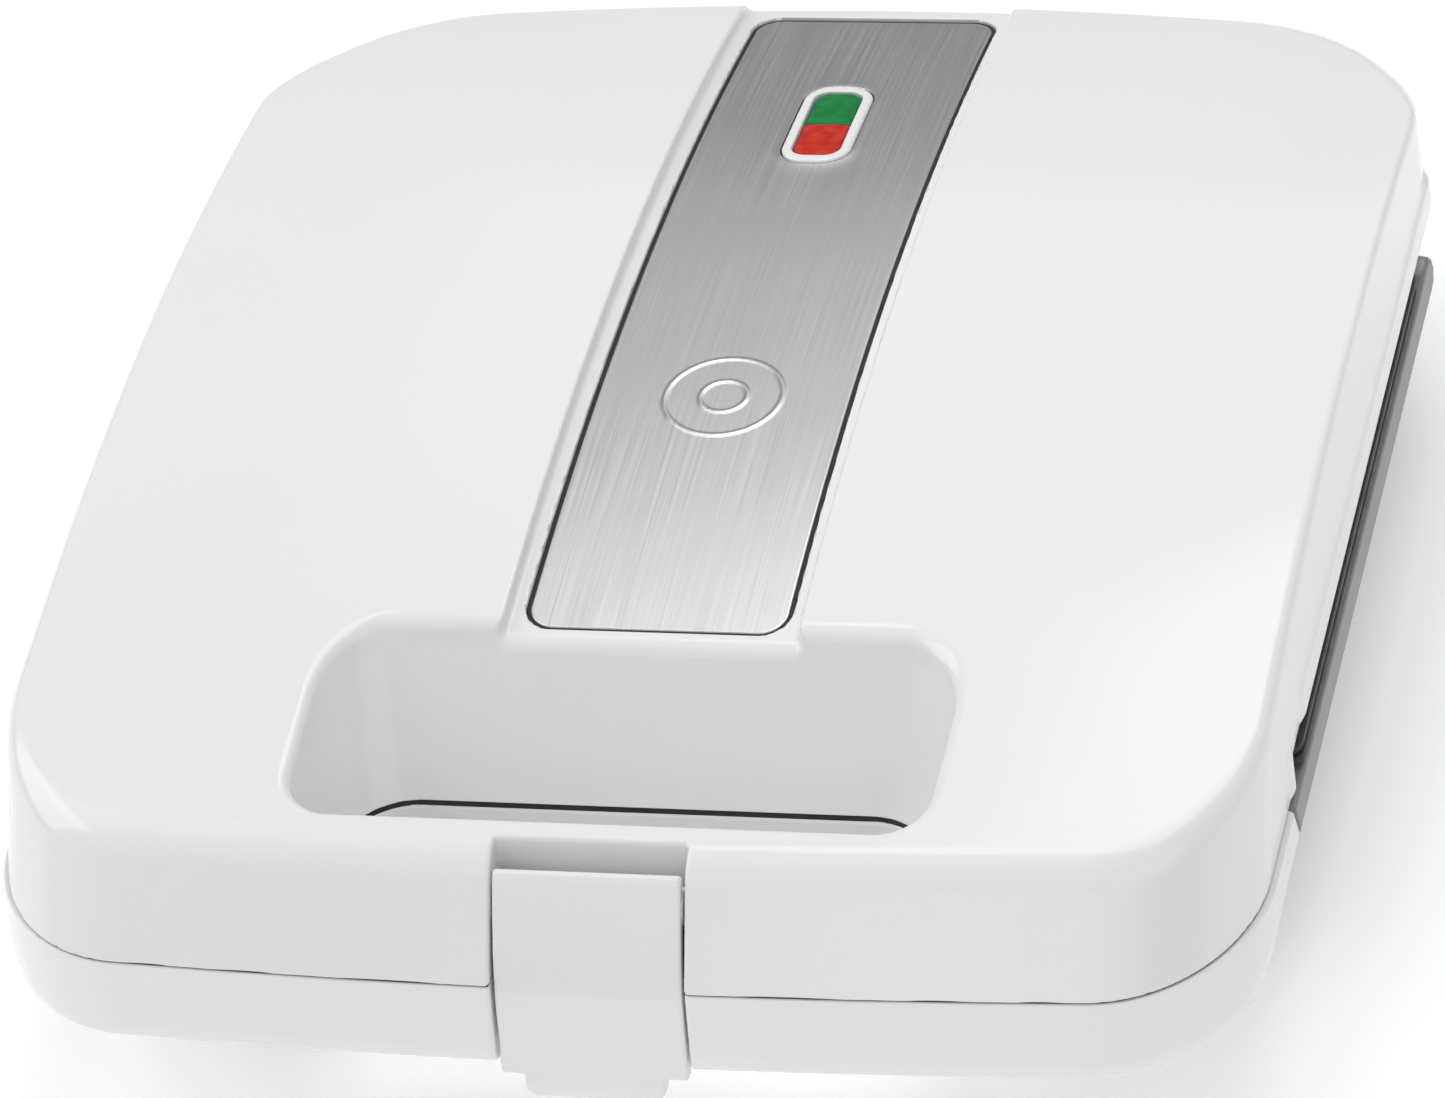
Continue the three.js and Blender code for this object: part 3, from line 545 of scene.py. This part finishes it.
def insert_grid(low, high):
    xs = mirrored((17, 3), (22, 0.8), (44, 2.5), (64, 1.2), (78, 2.5), (90, 0.7), (HALF, 1.6))
    ys = lines(FRONT - 2, (-88, 1.0), (GRIP_BACK, 1.2))
    return xs, ys, lines(low - 0.8, (high + 0.8, 0.35))


def rear_panel(x, y, z):
    """The strip that closes the lid from below behind its plate."""
    low, high = extent("lid_rear_panel")
    outline = np.maximum(plan(x, y, HALF - 5.6, -200, REAR - 6), slab(y, low[1], high[1]))
    return both(outline, slab(z, low[2], high[2]), 0.5)


def bottom_cover(x, y, z):
    """A flat plate with a row of vent slots."""
    low, high = extent("bottom_cover")
    body = both(rect(x, y, low[:2], high[:2], 12), slab(z, low[2], high[2]), 0.5)
    pitch, half_slot = 16, 2
    slots = np.abs(np.mod(y + pitch, pitch) - pitch / 2) - half_slot
    slots = np.maximum(slots, slab(y, -10, 58))
    return cut(body, np.maximum(slots, np.abs(x) - 22), 0.5)


def foot(cx, cy, top):
    """A rubber foot, slightly dished underneath."""
    def field(x, y, z):
        radius = np.hypot(x - cx, y - cy)
        body = both(radius - FOOT_RADIUS, slab(z, 0, top), 0.9)
        return cut(body, np.maximum(radius - 5.5, z - 0.8), 0.5)
    return field


def screw(cx, cy, low, high, head, slot_up):
    """A pan head with a cross recess in its top or underside."""
    def field(x, y, z):
        radius = np.hypot(x - cx, y - cy)
        body = both(radius - head, slab(z, low, high), 0.5)
        arm = np.minimum(
            np.maximum(np.abs(x - cx) - 0.4, np.abs(y - cy) - head * 0.6),
            np.maximum(np.abs(y - cy) - 0.4, np.abs(x - cx) - head * 0.6))
        depth = (high - 0.9 - z) if slot_up else (z - low - 0.9)
        return cut(body, np.maximum(arm, depth), 0.15)
    return field


def cord_bush(x, y, z):
    """The cord's inlet: a flange on the rear wall, a neck through it and a rounded bore."""
    low, high = extent("cord_inlet_bush")
    flange = both(rect(x, z, low[[0, 2]], high[[0, 2]], 2), slab(y, high[1] - 1.8, high[1]), 0.5)
    neck = np.maximum(rect(x, z, (-7, 24.2), (7, 33.2), 1), slab(y, low[1], high[1] - 1))
    bore = rect(x, z, (-4, 26), (4, 31.4), 2.2)
    return cut(either(flange, neck, 0.3), bore, 0.6)


def box_grid(node, step, margin=1.5):
    low, high = extent(node)
    return tuple(lines(a - margin, (b + margin, step)) for a, b in zip(low, high))


# ---------------------------------------------------------------- inlay, indicator, latch


def inlay_emblem(x, y):
    """A generic raised mark: two rings, one in the other."""
    radius = np.hypot(x, y - EMBLEM_Y)
    ridges = [np.clip(1 - np.abs(radius - r) / EMBLEM_RIDGE, 0, 1) for r in EMBLEM_RADII]
    return 0.22 * sum(r * r * (3 - 2 * r) for r in ridges)


def steel_inlay(x, y, w):
    """The flat blank, which is bent along the arch. w is the height over the channel floor."""
    top = -(BED_DEPTH - GAP) + 0.8
    outline = rect(x, y, INLAY_LOW[:2], INLAY_HIGH[:2], 5)
    hole = rect(x, y, BEZEL_LOW[:2] - GAP, BEZEL_HIGH[:2] + GAP, 6)
    rim = np.exp(-np.maximum(hole, 0) / 1.2) * 0.35
    body = both(outline, slab(w, top - 0.8, top + inlay_emblem(x, y) + rim), 0.22)
    return cut(body, hole, 0.22)


def inlay_gap_painted_shade(x, y, w):
    """A thin black ring in the bed around the steel: painted shade that darkens the gap there."""
    ring = cut(rect(x, y, INLAY_LOW[:2] - 0.85, INLAY_HIGH[:2] + 0.85, 5.8),
               rect(x, y, INLAY_LOW[:2] + 0.1, INLAY_HIGH[:2] - 0.1, 5))
    return both(ring, slab(w, -BED_DEPTH, -0.75), 0.15)


def inlay_grid():
    xs = mirrored((12, 0.45), (INLAY_HIGH[0] - 4, 1.2), (INLAY_HIGH[0] + 1, 0.4))
    ys = lines(INLAY_LOW[1] - 1, (-58, 0.5), (-17, 2.5), (9, 0.45), (70, 3), (106, 0.6),
               (126, 2.5), (INLAY_HIGH[1] + 1, 0.5))
    return xs, ys, lines(-1.7, (0.7, 0.14))


def bezel(x, y, w):
    """A rounded frame around the lenses, proud of the steel."""
    low, high = BEZEL_LOW[:2], BEZEL_HIGH[:2]
    body = both(rect(x, y, low, high, 5.6), slab(w, -3.0, 0.2), 0.8)
    middle = (BEZEL_LOW[1] + BEZEL_HIGH[1]) / 2
    window = rect(x, y, (-4.8, middle - 12.7), (4.8, middle + 12.7), 3.1)
    return cut(body, window, 0.35)


def lens(node):
    """One half of the indicator's window, slightly crowned across."""
    def field(x, y, w):
        low, high = extent(node)
        middle = (BEZEL_LOW[1] + BEZEL_HIGH[1]) / 2
        body = rect(x, y, (-4.5, middle - 12.4), (4.5, middle + 12.4), 2.8)
        body = both(body, slab(y, low[1], high[1]), 0.25)
        return both(body, slab(w, -2.8, -0.15 - 0.012 * x * x), 0.5)
    return field


# Side views of the latch, as y and z: the bent face from its top down and back up, and the nib.
LATCH_FACE = [
    (-123.6, 55.6), (-125.9, 53.2), (-134.6, 38), (-137.6, 24), (-139.8, 17.5),
    (-138.2, 16), (-136.2, 18), (-134.6, 24.5), (-131.9, 38), (-124.4, 51.4), (-122.4, 53.8),
]
LATCH_NIB = [(-133.6, 29.4), (-132.95, 29.4), (-132.95, 27.6), (-134.4, 26.4), (-135.4, 28)]
LATCH_HALF, LIP_HALF, NIB_HALF = 16.8, 12.6, 11.0


def latch_clip(x, y, z):
    """The rocker: a bent face with a pull lip, its pivot boss and the nib behind it."""
    _, pivot_y, pivot_z = HINGE["latch_pivot"]
    face = polygon(y, z, softened(LATCH_FACE))
    wide = np.maximum(np.abs(x) - LATCH_HALF, 21.3 - z)
    lip = both(np.abs(x) - LIP_HALF, LATCH_BOTTOM + 1 - z, 2.4)
    body = both(face, either(wide, lip, 0.7), 0.45)
    boss = np.hypot(y - pivot_y, z - pivot_z)
    body = either(body, np.maximum(boss - 3.4, np.abs(x) - LATCH_HALF), 0.6)
    body = np.maximum(body, 1.6 - boss)
    nib = np.maximum(polygon(y, z, LATCH_NIB), np.abs(x) - NIB_HALF)
    return either(body, nib, 0.2)


# ---------------------------------------------------------------- baking plates


def baking_plate(face, up):
    """Six ring moulds in a flat plate. Its face is at height face, and looks up or down."""
    def field(x, y, z):
        depth = (face - z) * up
        ring_x = np.abs(np.abs(x) - RING_PITCH_X / 2) - RING_PITCH_X / 2
        ring_y = np.abs(y - RING_Y) - RING_PITCH_Y / 2
        across = np.hypot(ring_x, ring_y) - RING_RADIUS
        groove = np.hypot(across, depth * RING_HALF / RING_DEPTH) - RING_HALF
        outer = np.hypot(across, depth * RING_HALF / RING_DEPTH) - RING_HALF - 2
        sheet = both(rect(x, y, PLATE_LOW[:2], PLATE_HIGH[:2], 4), slab(depth, 0, 2.4), 0.5)
        body = either(sheet, np.maximum(outer, 1 - depth), 1.0)
        return cut(body, groove, 1.0)
    return field


def plate_grid(node):
    low, high = extent(node)
    xs = mirrored((PLATE_HIGH[0] - 3, 1.4), (PLATE_HIGH[0] + 1.2, 0.6))
    ys = lines(low[1] - 1.2, (low[1] + 3, 0.6), (high[1] - 3, 1.4), (high[1] + 1.2, 0.6))
    return xs, ys, lines(low[2] - 1.2, (high[2] + 1.2, 0.75))


# ---------------------------------------------------------------- materials


def new_material(name, color, roughness, **sockets):
    material = bpy.data.materials.new(name)
    material.use_nodes = True
    shader = material.node_tree.nodes["Principled BSDF"]
    shader.inputs["Base Color"].default_value = (*color, 1)
    shader.inputs["Roughness"].default_value = roughness
    for socket, value in sockets.items():
        shader.inputs[socket.replace("_", " ").title().replace("Ior", "IOR")].default_value = value
    return material


def node(material, kind, settings=(), **inputs):
    """Adds a node. An input is a value, or the output socket of another node."""
    made = material.node_tree.nodes.new(kind)
    for key, value in dict(settings).items():
        setattr(made, key, value)
    for key, value in inputs.items():
        socket = made.inputs[key.replace("_", " ").title()]
        if isinstance(value, bpy.types.NodeSocket):
            material.node_tree.links.new(value, socket)
        else:
            socket.default_value = value
    return made


def feed(material, output, socket):
    shader = material.node_tree.nodes["Principled BSDF"]
    material.node_tree.links.new(output, shader.inputs[socket])


def noise(material, scale, stretch=(1, 1, 1), detail=2.0):
    """Noise in the object's own coordinates, in cells per metre."""
    place = node(material, "ShaderNodeTexCoord").outputs["Object"]
    mapped = node(material, "ShaderNodeMapping", vector=place, scale=stretch).outputs["Vector"]
    made = node(material, "ShaderNodeTexNoise", vector=mapped, scale=scale, detail=detail)
    return made.outputs["Fac"]


def remap(material, value, low, high, span=(0.3, 0.7)):
    made = node(material, "ShaderNodeMapRange", value=value, from_min=span[0], from_max=span[1],
                to_min=low, to_max=high)
    return made.outputs["Result"]


def shade(material, value, dark, light, span=(0.3, 0.7)):
    """Base colour between two tones."""
    ramp = node(material, "ShaderNodeValToRGB", fac=value)
    for stop, position, tone in zip(ramp.color_ramp.elements, span, (dark, light)):
        stop.position = position
        stop.color = (*tone, 1)
    feed(material, ramp.outputs["Color"], "Base Color")


def relief(material, height, depth, strength=1.0):
    """A bump of a depth in metres."""
    made = node(material, "ShaderNodeBump", height=height, distance=depth, strength=strength)
    feed(material, made.outputs["Normal"], "Normal")


def gloss_plastic(name, dark, light, roughness, grain=900, depth=2e-5):
    """Moulded plastic: faint tone changes, uneven gloss and a fine skin."""
    material = new_material(name, light, roughness, ior=1.5)
    shade(material, noise(material, 14), dark, light)
    feed(material, remap(material, noise(material, 45, detail=5), roughness - 0.02, roughness + 0.03),
         "Roughness")
    relief(material, noise(material, grain, detail=3), depth, 0.25)
    return material


def brushed_steel():
    material = new_material("brushed_steel", (0.62, 0.62, 0.63), 0.34, metallic=1.0, anisotropic=0.55)
    streaks = noise(material, 1.0, (2600, 22, 60), detail=4)
    shade(material, streaks, (0.56, 0.56, 0.57), (0.68, 0.68, 0.69), (0.25, 0.75))
    feed(material, remap(material, streaks, 0.28, 0.42), "Roughness")
    relief(material, streaks, 6e-6, 0.6)
    turned = node(material, "ShaderNodeVectorTransform", {
        "vector_type": "VECTOR", "convert_from": "OBJECT", "convert_to": "WORLD"}, vector=(1, 0, 0))
    feed(material, turned.outputs["Vector"], "Tangent")
    return material


def metal(name, dark, light, roughness, grain=400):
    material = new_material(name, light, roughness, metallic=1.0)
    stains = noise(material, grain, detail=5)
    shade(material, stains, dark, light)
    feed(material, remap(material, stains, roughness - 0.06, roughness + 0.1), "Roughness")
    relief(material, noise(material, grain * 4), 1e-5, 0.3)
    return material


def nonstick_coating():
    """Dark sprayed coating with fine pale specks over a cast grain."""
    material = new_material("nonstick_coating", (0.03, 0.03, 0.032), 0.5, specular_ior_level=0.25)
    place = node(material, "ShaderNodeTexCoord").outputs["Object"]
    specks = node(material, "ShaderNodeTexVoronoi", vector=place, scale=1300.0).outputs["Distance"]
    shade(material, specks, (0.10, 0.10, 0.105), (0.022, 0.022, 0.024), (0.05, 0.14))
    feed(material, remap(material, noise(material, 300, detail=4), 0.42, 0.58), "Roughness")
    relief(material, noise(material, 2200, detail=3), 2e-5, 0.5)
    return material


def matt(name, dark, light, roughness, grain, depth):
    material = new_material(name, light, roughness)
    shade(material, noise(material, grain / 4, detail=4), dark, light)
    feed(material, remap(material, noise(material, grain), roughness - 0.06, roughness + 0.06),
         "Roughness")
    relief(material, noise(material, grain, detail=4), depth, 0.5)
    return material


def tinted_lens(name, dark, light):
    """Tinted clear plastic over a diffusing back: mottled, with a polished face."""
    material = new_material(name, light, 0.16, ior=1.4, specular_ior_level=0.3)
    shade(material, noise(material, 420, detail=4), dark, light, (0.38, 0.66))
    feed(material, remap(material, noise(material, 900), 0.12, 0.24), "Roughness")
    return material


def lamp_glass():
    material = new_material("lamp_glass", (0.95, 0.8, 0.68), 0.06, transmission_weight=0.85, ior=1.5)
    feed(material, remap(material, noise(material, 800), 0.04, 0.12), "Roughness")
    return material


FINISH = {
    "shell_white": gloss_plastic("white_plastic", (0.815, 0.815, 0.82), (0.825, 0.825, 0.83), 0.13),
    "shell_grey": gloss_plastic("grey_plastic", (0.21, 0.21, 0.212), (0.23, 0.23, 0.232), 0.4,
                                grain=2500, depth=5e-5),
    "inlay_steel": brushed_steel(),
    "lens_green": tinted_lens("green_lens", (0.0, 0.17, 0.035), (0.0, 0.24, 0.05)),
    "lens_red": tinted_lens("red_lens", (0.48, 0.012, 0.004), (0.62, 0.035, 0.015)),
    "nonstick": nonstick_coating(),
    "element_steel": metal("element_steel", (0.07, 0.065, 0.06), (0.15, 0.145, 0.14), 0.42),
    "tin_plate": metal("tin_plate", (0.42, 0.42, 0.43), (0.56, 0.57, 0.58), 0.36, 150),
    "fastener_steel": metal("zinc_steel", (0.42, 0.42, 0.44), (0.6, 0.6, 0.62), 0.3, 600),
    "rubber_black": matt("rubber", (0.014, 0.014, 0.015), (0.026, 0.026, 0.027), 0.78, 1800, 6e-5),
    "ceramic_cream": matt("steatite", (0.70, 0.66, 0.57), (0.82, 0.78, 0.70), 0.4, 900, 3e-5),
    "inlet_black": matt("black_plastic", (0.012, 0.012, 0.013), (0.02, 0.02, 0.021), 0.48, 1500, 4e-5),
    "lamp_glass": lamp_glass(),
}

# ---------------------------------------------------------------- the pieces

BODY_OF = {name: body for body, names in frame["record"]["behaviour"]["bodies"].items()
           for name in names}
SLOT_OF = {s["node"]: s["material_slot"] for s in frame["record"]["subparts"]}


def fit_out(thing, body, slot):
    """A piece takes its slot's finish and rides its body."""
    thing.data.materials.append(FINISH[slot])
    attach(thing, body)


def dress(name, field, grid, bend=None):
    """Replaces a CAD node by the smooth skin of a field, in the finish of its own slot."""
    thing = skin_mesh(f"{name}_skin", field, grid, bend)
    fit_out(thing, BODY_OF[name], SLOT_OF[name])
    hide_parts(name)


def make_shells():
    dress("lid_shell", lid_shell, lid_grid())
    dress("lower_grip_cover", lower_grip_cover, cover_grid())
    dress("base_shell", base_shell, base_grid())
    dress("latch_clip", latch_clip, box_grid("latch_clip", 0.5))


def make_inlay_and_indicator():
    dress("steel_inlay", steel_inlay, inlay_grid(), ALONG_ARCH)
    ends = (BEZEL_LOW[1] - 1, BEZEL_HIGH[1] + 1)
    xs = mirrored((BEZEL_HIGH[0] + 1, 0.3))
    grid = (xs, lines(ends[0], (ends[1], 0.35)), lines(-3.6, (0.8, 0.2)))
    dress("indicator_bezel", bezel, grid, ALONG_ARCH)
    for name in ("green_lens", "red_lens"):
        low, high = extent(name)
        ys = lines(low[1] - 1, (high[1] + 1, 0.3))
        grid = (mirrored((5.4, 0.3)), ys, lines(-3.4, (0.5, 0.2)))
        dress(name, lens(name), grid, ALONG_ARCH)


def make_painted_gap_shade():
    """Two thin black strips of painted shade: they darken the gap round the steel and the parting gap of the grip.
    """
    xs = mirrored((19, 3), (INLAY_HIGH[0] + 1.5, 0.3))
    ys = lines(INLAY_LOW[1] - 1.5, (-60, 0.3), (128, 3), (INLAY_HIGH[1] + 1.5, 0.3))
    grid = (xs, ys, lines(-2, (-0.4, 0.2)))
    # Painted shade: a black ring that darkens the gap round the steel.
    fit_out(skin_mesh("inlay_gap_painted_shade", inlay_gap_painted_shade, grid, ALONG_ARCH), "lid", "rubber_black")
    xs = mirrored((15, 3), (22, 0.7), (40, 3), (60, 0.7), (84, 3), (HALF + 1, 0.5))
    ys = lines(FRONT - 1.5, (-108, 0.5), (SEAM_Y + 1, 0.7))
    grid = (xs, ys, lines(RIM_TOP - 1, (LID_BOTTOM + 1, 0.3)))
    # Painted shade: a black strip that darkens the grip's parting gap.
    fit_out(skin_mesh("grip_gap_painted_shade", grip_gap_painted_shade, grid), "base", "rubber_black")


def make_plates():
    dress("lower_baking_plate", baking_plate(PLATE_HIGH[2], 1), plate_grid("lower_baking_plate"))
    upper = extent("upper_baking_plate")[0][2]
    dress("upper_baking_plate", baking_plate(upper, -1), plate_grid("upper_baking_plate"))


def make_inserts_and_covers():
    for name, inset, bay_back in (("lid_grip_insert", 5.4, -115.4), ("lower_grip_insert", 3.2, -127.7)):
        low, high = extent(name)
        field = grip_insert(low[2], high[2], inset, bay_back)
        dress(name, field, insert_grid(low[2], high[2]))
    low, high = extent("lid_rear_panel")
    ys = lines(low[1] - 1, (high[1] + 1, 1.5))
    grid = (mirrored((HALF, 2)), ys, lines(low[2] - 1, (high[2] + 1, 0.4)))
    dress("lid_rear_panel", rear_panel, grid)
    low, high = extent("bottom_cover")
    ys = lines(low[1] - 1, (-12, 2), (60, 0.6), (high[1] + 1, 2))
    xs = mirrored((20, 3), (24, 0.7), (high[0] - 2, 3), (high[0] + 1, 0.7))
    dress("bottom_cover", bottom_cover, (xs, ys, lines(low[2] - 1, (high[2] + 1, 0.35))))
    dress("cord_inlet_bush", cord_bush, box_grid("cord_inlet_bush", 0.45))


def make_small_parts():
    for name, slot in SLOT_OF.items():
        low, high = extent(name)
        centre = (low + high) / 2
        if name.startswith("foot_"):
            dress(name, foot(centre[0], centre[1], high[2]), box_grid(name, 0.7))
        elif "_screw_" in name:
            head = (high[0] - low[0]) / 2
            field = screw(centre[0], centre[1], low[2], high[2], head, name.startswith("lid_grip"))
            dress(name, field, box_grid(name, 0.3, 0.9))


def finish_carried_nodes():
    """CAD nodes that keep their own mesh get the procedural finish of their slot."""
    for name, thing in frame["nodes"].items():
        if thing.hide_render:
            continue
        thing.data.materials.clear()
        thing.data.materials.append(FINISH[SLOT_OF[name]])


# ---------------------------------------------------------------- studio and camera


def make_floor():
    """A wide pale sheet, well below any glimpse of its edge."""
    size = 6.0
    mesh = bpy.data.meshes.new("floor")
    corners = [(-size, -size, 0), (size, -size, 0), (size, size, 0), (-size, size, 0)]
    mesh.from_pydata(corners, [], [(0, 1, 2, 3)])
    floor = bpy.data.objects.new("floor", mesh)
    bpy.context.scene.collection.objects.link(floor)
    material = new_material("paper_floor", (0.93, 0.93, 0.93), 0.7, emission_strength=0.22,
                            emission_color=(1, 1, 1, 1))
    feed(material, remap(material, noise(material, 6, detail=3), 0.66, 0.78), "Roughness")
    mesh.materials.append(material)


# Softboxes: azimuth (0 behind, 90 on the right) and elevation in degrees, distance and size in
# metres, power in watts.
SOFTBOXES = {
    "left": (270, 35, 2.3, 1.6, 16),
    "left_high": (270, 65, 2.2, 1.6, 5),
    "back": (0, 45, 2.2, 1.4, 3.2),
    "back_right": (45, 45, 2.2, 1.6, 4),
    "near_above": (20, 72, 1.2, 0.8, 4.7),
    "front": (180, 35, 2.4, 1.6, 2),
    "front_low": (175, 12, 2.4, 1.4, 5),
    "front_right": (140, 35, 2.4, 1.6, 6.5),
}


def area_light(name, azimuth, elevation, distance, size, power):
    """A square softbox that faces the middle of the appliance."""
    turn, rise = math.radians(azimuth), math.radians(elevation)
    toward = Vector((math.sin(turn) * math.cos(rise), math.cos(turn) * math.cos(rise), math.sin(rise)))
    place = Vector((0, 0, 0.05)) + toward * distance
    data = bpy.data.lights.new(name, "AREA")
    data.shape = "SQUARE"
    data.size = size
    data.energy = power
    light = bpy.data.objects.new(name, data)
    light.matrix_world = Matrix.Translation(place) @ toward.to_track_quat("Z", "Y").to_matrix().to_4x4()
    bpy.context.scene.collection.objects.link(light)


def make_lights():
    for name, setting in SOFTBOXES.items():
        area_light(name, *setting)
    world = bpy.data.worlds.new("studio")
    world.use_nodes = True
    background = world.node_tree.nodes["Background"]
    background.inputs["Color"].default_value = (1, 1, 1, 1)
    background.inputs["Strength"].default_value = 0.345
    bpy.context.scene.world = world


def make_view():
    """Plain sRGB, so that the whites stay white."""
    bpy.context.scene.view_settings.view_transform = "Standard"


def make_camera():
    """A long lens, looking down from the right of the grip and rolled a little."""
    azimuth, elevation, roll = (math.radians(a) for a in (18.0, 37.0, 9.4))
    place = Vector((0.3557, -1.1142, 0.9119))
    back = Vector((math.sin(azimuth) * math.cos(elevation),
                   -math.cos(azimuth) * math.cos(elevation), math.sin(elevation)))
    right = Vector((math.cos(azimuth), math.sin(azimuth), 0))
    up = back.cross(right)
    rolled_right = math.cos(roll) * right - math.sin(roll) * up
    rolled_up = math.sin(roll) * right + math.cos(roll) * up
    turn = Matrix((rolled_right, rolled_up, back)).transposed().to_4x4()
    data = bpy.data.cameras.new("camera")
    data.sensor_width = 36
    data.lens = 196.4
    data.clip_end = 50
    camera = bpy.data.objects.new("camera", data)
    camera.matrix_world = Matrix.Translation(place) @ turn
    bpy.context.scene.collection.objects.link(camera)
    bpy.context.scene.camera = camera


make_view()
make_camera()
make_lights()
make_floor()
make_shells()
make_inlay_and_indicator()
make_painted_gap_shade()
make_plates()
make_inserts_and_covers()
make_small_parts()
finish_carried_nodes()
